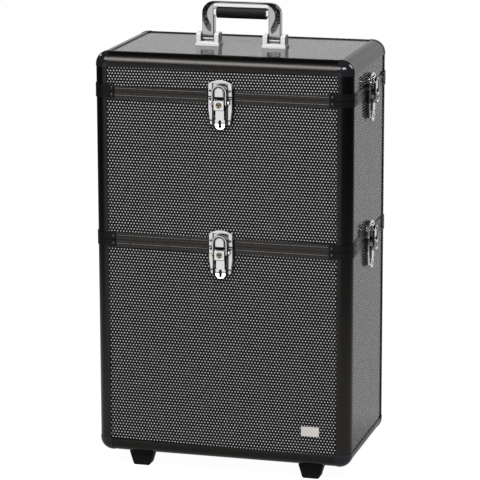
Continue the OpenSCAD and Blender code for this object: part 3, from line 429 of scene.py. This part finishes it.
def handle_plating():
    """Polished handle, with reflections painted into its colour. On the front and rear of each arm a painted
    dark reflection, shaped like a leaf, crosses the arm, and a painted dark crescent follows the outer bend.
    A painted dark line follows the rounded edge of the bar."""
    material, t = new_material("handle_plating")
    point = t.place()
    facing = t.facing()
    side = t.math("ABSOLUTE", point[0])

    def inside(circle):
        x, z, radius = circle
        away = t.length(t.math("SUBTRACT", side, x), t.math("SUBTRACT", point[2], LID_TOP + z))
        return t.smooth(away, radius + 0.0002, radius - 0.0002)

    # Painted dark reflections: the crescent along the outer bend and the leaf shapes on the front and rear
    # of the arms
    bend = t.times(t.math("SUBTRACT", 1.0, inside(CRESCENT)), t.math("GREATER_THAN", side, CRESCENT[0]),
                   t.smooth(point[2], LID_TOP + 0.0325, LID_TOP + 0.0345))
    dark = t.math("MAXIMUM", t.times(inside(LEAF_OUTSIDE), inside(LEAF_INSIDE)), bend)
    painted_reflection = t.times(dark, t.math("GREATER_THAN", t.gap(point[1], CASE_Y), DEPTH - 0.0004))
    ripple = t.add("ShaderNodeCombineXYZ", {0: t.smooth(t.noise(420.0, 1.0), 0.3, 0.7, -0.2, 0.2), 2: -0.75})

    # Painted shade on the flanks of the arms, a painted highlight along the bar and a painted dark
    # reflection on its rounded upper edge
    flank = t.times(t.smooth(t.math("ABSOLUTE", facing[0]), 0.6, 0.9),
                    t.smooth(point[2], LID_TOP + 0.0600, LID_TOP + 0.0500))
    strip = t.times(t.math("LESS_THAN", side, 0.0400), t.smooth(facing[2], 0.3, 0.1),
                    t.smooth(point[2], LID_TOP + 0.0600, LID_TOP + 0.0594))
    line = t.times(t.smooth(facing[2], 0.20, 0.35), t.smooth(facing[2], 0.97, 0.90))
    plain = t.mix(t.noise(30.0), grey(0.52), grey(0.56))
    for mask, colour in ((flank, grey(0.40)), (strip, grey(0.98)), (line, grey(0.05))):
        plain = t.mix(mask, plain, colour)
    shader = t.add("ShaderNodeBsdfPrincipled", {
        "Base Color": t.mix(painted_reflection, plain, grey(0.14, 0.03)),
        "Metallic": 1.0,
        "Roughness": t.worn(0.07, 0.11),
        "Normal": t.lean(painted_reflection, ripple),
    })
    t.surface(shader)
    return material


def bracket_plating():
    """Pale satin plating of the handle brackets. Shade is painted darker on their flanks and in the slots in
    them.
    """
    material, t = new_material("bracket_plating")
    # Painted shade: faces looking sideways get dark grey, and ambient occlusion darkens the slots
    flank = t.smooth(t.math("ABSOLUTE", t.facing()[0]), 0.6, 0.9)
    pale = t.mix(flank, t.mix(t.noise(30.0), grey(0.74), grey(0.78)), grey(0.12))
    shader = t.add("ShaderNodeBsdfPrincipled", {
        "Base Color": t.mix(t.clear_of_painted_shade(0.2, 0.5), grey(0.03), pale),
        "Metallic": 0.25,
        "Roughness": t.worn(0.34, 0.40),
    })
    t.surface(shader)
    return material


def moulded(name, low, high, rough, grain=1500.0, depth=0.00008, specular=0.4):
    """Moulded plastic or rubber with a fine spark-eroded grain."""
    material, t = new_material(name)
    texture = t.noise(grain, 3.0, 0.6)
    shader = t.add("ShaderNodeBsdfPrincipled", {
        "Base Color": t.mix(t.noise(60.0), grey(low), grey(high)),
        "Roughness": t.smooth(texture, 0.3, 0.7, rough - 0.06, rough + 0.08),
        "Specular IOR Level": specular,
        "Normal": t.bump(texture, depth, 0.6),
    })
    t.surface(shader)
    return material


def gloss_black():
    """Polished black plastic of the ball corners."""
    material, t = new_material("gloss_black")
    scuffs = t.noise(220.0, 5.0, 0.65)
    shader = t.add("ShaderNodeBsdfPrincipled", {
        "Base Color": t.mix(scuffs, (0.006, 0.007, 0.009, 1), (0.010, 0.011, 0.013, 1)),
        "Roughness": t.smooth(scuffs, 0.4, 0.8, 0.07, 0.16),
        "Specular IOR Level": 0.28,
        "Normal": t.bump(t.noise(35.0, 1.0), 0.0002, 0.15),
    })
    t.surface(shader)
    return material


def woven():
    """Black woven lining."""
    material, t = new_material("woven_lining")
    across, along = face_plane(t)
    warp, weft = [t.math("SINE", t.times(way, math.tau / THREAD)) for way in (across, along)]
    height = t.times(warp, weft)
    fuzz = t.noise(2500.0, 2.0)
    shader = t.add("ShaderNodeBsdfPrincipled", {
        "Base Color": t.mix(t.smooth(height, -1.0, 1.0), grey(0.018), grey(0.04)),
        "Roughness": t.smooth(fuzz, 0.2, 0.8, 0.75, 0.95),
        "Sheen Weight": 0.25,
        "Normal": t.bump(t.math("ADD", height, fuzz), 0.0001, 0.7),
    })
    t.surface(shader)
    return material


EDGE = anodised("black_profile", 0.029, 0.034, 0.285)
RIM = anodised("grey_rim", 0.045, 0.052, 0.33)
TUBE = anodised("silver_tube", 0.58, 0.66, 0.27, (1, 1, 0.02))
CORNER = gloss_black()
CLIP = moulded("clip_enamel", 0.003, 0.005, 0.34, 900.0, 0.00001, 0.12)
LINING = woven()
CHROME = bright_plating()
HANDLE = handle_plating()
BRACKET = bracket_plating()
STEEL = rivet_steel()
BRASS = lock_brass()
BADGE = anodised("badge_silver", 0.72, 0.82, 0.30, (0.03, 1, 1))
PLASTIC = moulded("black_plastic", 0.004, 0.007, 0.5, 900.0, 0.00003, 0.06)
GRIP = moulded("grip_plastic", 0.006, 0.010, 0.50, 900.0, 0.00003, specular=0.15)
TYRE = moulded("tyre_rubber", 0.012, 0.022, 0.70, 700.0, 0.00015, 0.3)
HUB = moulded("hub_plastic", 0.05, 0.07, 0.40)
BUTTON = moulded("button_plastic", 0.05, 0.07, 0.40)

BY_SLOT = {
    "edge": EDGE, "rim": RIM, "corner": CORNER, "clip": CLIP, "lining": LINING,
    "rivet": STEEL, "plastic": PLASTIC, "badge": BADGE, "latch": CHROME, "lock": BRASS,
    "handle": HANDLE, "grip": GRIP, "tyre": TYRE, "hub": HUB, "tube": TUBE, "button": BUTTON,
}


def plating_of(name):
    """The plating that a latch piece or the handle brackets have for themselves, if any."""
    seam = LID_SEAM if name.startswith("lid") else MID_SEAM
    if name == "handle_brackets":
        return BRACKET
    if name.endswith("bail"):
        return bail_plating(name + "_plating", seam, 0 if "front" in name else 1)
    if name.endswith("lever"):
        return lever_plating(name + "_plating", seam)
    if "_latch_" in name:
        return latch_plating(name + "_plating", seam)
    return None


for part in frame["record"]["subparts"]:
    name, slot = part["node"], part["material_slot"]
    slots = NODES[name].data.materials
    slots.clear()
    slots.append(dotted_sheet(name) if slot == "panel" else plating_of(name) or BY_SLOT[slot])


# Softened CAD edges

LATCH_PLATES = ("mid_latch_bases", "lid_latch_bases", "mid_latch_keepers", "lid_latch_keepers")
MOULDED_PIECES = ("front_feet", "wheel_housings", "trolley_brackets", "trolley_grip")


def soften(name, width, segments=2):
    """Rounds the sharp edges of a CAD node a little, as they are on the real part."""
    piece = NODES[name]
    weld = piece.modifiers.new("weld", "WELD")
    weld.merge_threshold = 0.000002
    bevel = piece.modifiers.new("soft_edge", "BEVEL")
    bevel.width = width
    bevel.segments = segments
    bevel.limit_method = "ANGLE"
    bevel.angle_limit = 0.6
    bevel.harden_normals = True


for name in NODES:
    if name.endswith(("lever", "bail")) or name in LATCH_PLATES:
        soften(name, 0.0003)
    elif name == "handle_brackets":
        soften(name, 0.0006, 3)
    elif name in MOULDED_PIECES:
        soften(name, 0.0008)


# Carry handle


def quarter(steps):
    """Angles from zero to a right angle in equal steps."""
    return [math.pi / 2 * k / steps for k in range(steps + 1)]


def handle_outline():
    """Matching points on the outer and the inner edge of the handle, from the left foot to the right."""
    stations = []
    for turn in quarter(12):
        x, z = 1 - math.cos(turn), 1 - math.sin(turn)
        stations.append((
            (OUTER_BEND * x - HANDLE_HALF, HANDLE_TOP - OUTER_BEND * z),
            (INNER_BEND * x - HANDLE_HALF + ARM, BAR_Z - INNER_BEND * z),
        ))
    left = [((-HANDLE_HALF, z), (ARM - HANDLE_HALF, z)) for z in foot_levels()]
    half = left + stations
    right = [((-a, b), (-c, d)) for (a, b), (c, d) in reversed(half)]
    return half + right


def foot_levels():
    """Heights of the sections that round the foot of an arm about its pin."""
    return [PIN_Z - DEPTH * math.cos(turn) for turn in quarter(8)] + [PIN_Z + 0.0003, PIN_Z + 0.0006]


def handle_profile(outer):
    """The section, whose outer edges have the given rounding. Each of its points names its edge, which is 0
    inside and 1 outside, its distance from that edge and its depth."""
    ring = []
    for edge, radius, steps in ((1, outer, 8), (0, INNER_ROUND, 4)):
        for side in (-1, 1):
            arc = []
            for turn in quarter(steps):
                depth = side * (DEPTH - radius * (1 - math.cos(turn)))
                arc.append((edge, radius * (1 - math.sin(turn)), depth))
            ring.append(arc if (edge == 1) == (side == -1) else arc[::-1])
    return ring[0] + ring[1] + ring[3] + ring[2]


def polished_handle():
    """The handle as a smooth casting. Its outer edges are rounder along the bar than on the arms."""
    mesh = bmesh.new()
    rows = []
    for (ox, oz), (ix, iz) in handle_outline():
        width = math.hypot(ox - ix, oz - iz)
        squash = 1.0
        if oz < PIN_Z:
            squash = max(0.12, math.sqrt(max(0.0, 1 - ((PIN_Z - oz) / DEPTH) ** 2)))
        up = min(1.0, max(0.0, (oz - (HANDLE_TOP - OUTER_BEND)) / OUTER_BEND))
        profile = handle_profile(ARM_ROUND + (BAR_ROUND - ARM_ROUND) * up)
        row = []
        for edge, back, depth in profile:
            share = 1 - back / width if edge else back / width
            x, z = ix + (ox - ix) * share, iz + (oz - iz) * share
            row.append(mesh.verts.new((x, CASE_Y + depth * squash, z)))
        rows.append(row)
    for a, b in zip(rows, rows[1:]):
        for k in range(len(profile)):
            n = (k + 1) % len(profile)
            mesh.faces.new((a[k], a[n], b[n], b[k]))
    mesh.faces.new(rows[0])
    mesh.faces.new(rows[-1][::-1])
    for side in (-1, 1):
        add_pin(mesh, side * (HANDLE_HALF - ARM / 2))
        add_lug(mesh, side)
    bmesh.ops.recalc_face_normals(mesh, faces=mesh.faces)
    data = bpy.data.meshes.new("polished_handle")
    mesh.to_mesh(data)
    mesh.free()
    data.shade_smooth()
    data.materials.append(HANDLE)
    piece = bpy.data.objects.new("polished_handle", data)
    scene.collection.objects.link(piece)
    auto = piece.modifiers.new("split", "EDGE_SPLIT")
    auto.split_angle = 0.7
    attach(piece, "carry_handle")
    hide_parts("handle_frame")


def add_pin(mesh, middle):
    """The pin that passes through an arm's foot along X, with chamfered ends."""
    rings = []
    count = 20
    turns = [math.tau * k / count for k in range(count)]
    edge = PIN_HALF - PIN_CUT
    for x, r in ((-PIN_HALF, PIN_R - PIN_CUT), (-edge, PIN_R), (edge, PIN_R), (PIN_HALF, PIN_R - PIN_CUT)):
        ring = [(middle + x, CASE_Y + r * math.cos(a), PIN_Z + r * math.sin(a)) for a in turns]
        rings.append([mesh.verts.new(place) for place in ring])
    for a, b in zip(rings, rings[1:]):
        for k in range(count):
            mesh.faces.new((a[k], a[(k + 1) % count], b[(k + 1) % count], b[k]))
    mesh.faces.new(rings[0][::-1])
    mesh.faces.new(rings[-1])


def add_lug(mesh, side):
    """The block that holds one end of the grip, with chamfered lower edges."""
    half = [(DEPTH - LUG_CUT, LUG_LOW), (DEPTH, LUG_LOW + LUG_CUT), (DEPTH, LUG_TOP)]
    section = [(-y, z) for y, z in reversed(half)] + half
    ends = [[mesh.verts.new((side * x, CASE_Y + y, z)) for y, z in section] for x in (GRIP_HALF, LUG_END)]
    count = len(section)
    for k in range(count):
        n = (k + 1) % count
        mesh.faces.new((ends[0][k], ends[0][n], ends[1][n], ends[1][k]))
    mesh.faces.new(ends[0][::-1])
    mesh.faces.new(ends[1])


polished_handle()


# World and lights


def studio():
    """What the object mirrors: a pale sweep behind it, a pale patch low in front and a dark room elsewhere.
    The camera sees plain white."""
    world = bpy.data.worlds.new("studio")
    scene.world = world
    t = Tree(world)
    direction = t.add("ShaderNodeTexCoord").outputs["Generated"]
    axes = t.add("ShaderNodeSeparateXYZ", {0: direction}).outputs
    behind = t.smooth(axes[1], 0.84, 0.90)
    low = t.smooth(axes[2], 0.40, 0.30)
    sweep = t.times(behind, low, t.smooth(axes[2], -0.15, 0.20, 0.72, 0.90))
    ahead = t.vmath("DOT_PRODUCT", direction, (-0.28, -0.93, -0.22))
    level = t.math("ADD", t.math("ADD", sweep, t.smooth(ahead, 0.80, 0.97, 0.0, 0.80)), 0.045)
    seen = t.add("ShaderNodeLightPath").outputs["Is Camera Ray"]
    strength = t.lerp(seen, level, 1.0)
    shade = t.add("ShaderNodeBackground", {"Color": grey(1.0), "Strength": strength})
    t.add("ShaderNodeOutputWorld", {"Surface": shade})


def softbox(name, place, target, size, power, only_gloss=False):
    """A rectangular area light. With only_gloss it shows in reflections and doesn't light matt surfaces."""
    light = bpy.data.lights.new(name, "AREA")
    light.shape = "RECTANGLE"
    light.size, light.size_y = size
    light.energy = power
    lamp = bpy.data.objects.new(name, light)
    scene.collection.objects.link(lamp)
    lamp.visible_diffuse = not only_gloss
    aim = Vector(target) - Vector(place)
    lamp.matrix_world = Matrix.Translation(place) @ aim.to_track_quat("-Z", "Y").to_matrix().to_4x4()


def floor():
    """A pale floor that the camera sees but that the glossy panels don't mirror."""
    mesh = bpy.data.meshes.new("floor")
    mesh.from_pydata([(-9, -9, 0), (9, -9, 0), (9, 9, 0), (-9, 9, 0)], [], [(0, 1, 2, 3)])
    piece = bpy.data.objects.new("floor", mesh)
    scene.collection.objects.link(piece)
    piece.visible_glossy = False
    material, t = new_material("floor")
    t.surface(t.add("ShaderNodeBsdfPrincipled", {
        "Base Color": t.mix(t.noise(3.0), grey(0.10), grey(0.12)),
        "Roughness": 0.9,
        "Specular IOR Level": 0.0,
        "Emission Color": grey(1.0),
        "Emission Strength": 0.97,
    }))
    mesh.materials.append(material)


def glowing_table():
    """A glowing table top round the object, which only reflections see. Its glow is painted dimmer round the
    case's footprint as the case's shadow, and it fades out with distance.
    """
    mesh = bpy.data.meshes.new("glowing_table")
    corners = [(x, y, 0.0002) for x, y in ((-3, -3), (3, -3), (3, 3), (-3, 3))]
    mesh.from_pydata(corners, [], [(0, 1, 2, 3)])
    piece = bpy.data.objects.new("glowing_table", mesh)
    scene.collection.objects.link(piece)
    piece.visible_camera = False
    piece.visible_diffuse = False
    piece.visible_shadow = False
    material, t = new_material("glowing_table")
    point = t.place()
    beside = [t.math("MAXIMUM", t.math("SUBTRACT", t.math("ABSOLUTE", point[k]), half), 0.0)
              for k, half in enumerate((HALF_W, HALF_D))]
    clear = t.length(*beside)
    # Painted shadow: the glow is dimmer close to the case's footprint
    level = t.smooth(clear, 0.0, 0.15, 0.42, 0.74)
    near = t.smooth(clear, 1.8, 0.3)
    glow = t.add("ShaderNodeEmission", {"Color": grey(1.0), "Strength": level})
    through = t.add("ShaderNodeBsdfTransparent", {"Color": grey(1.0)})
    t.surface(t.add("ShaderNodeMixShader", {0: near, 1: through, 2: glow}))
    mesh.materials.append(material)


# The camera of the photograph, as fitted to it: place in metres, tilt, roll and turn in degrees, lens in mm
PHOTO_PLACE = (1.042131, -3.802996, 1.224330)
PHOTO_TURN = (77.11455, 0.13745, 15.36343)
PHOTO_LENS = 208.01


def photo_camera():
    data = bpy.data.cameras.new("photo_camera")
    data.sensor_width = 36.0
    data.lens = PHOTO_LENS
    data.clip_end = 50.0
    camera = bpy.data.objects.new("photo_camera", data)
    scene.collection.objects.link(camera)
    turn = Euler([math.radians(angle) for angle in PHOTO_TURN])
    camera.matrix_world = Matrix.Translation(PHOTO_PLACE) @ turn.to_matrix().to_4x4()
    scene.camera = camera


studio()
softbox("key_band", (-0.885, -2.25, 3.13), (0, 0, 0.35), (2.2, 1.3), 100.0)
softbox("key_spot", (1.62, -1.93, 3.05), (0, 0, 0.45), (1.8, 1.0), 116.0)
softbox("rim_right", (2.31, 1.85, 2.30), (0, 0, 0.45), (0.9, 1.4), 40.0, True)
softbox("rim_left", (-2.66, 1.34, 2.19), (0, 0, 0.45), (0.6, 0.5), 12.0, True)
floor()
glowing_table()
photo_camera()
scene.view_settings.view_transform = "Standard"
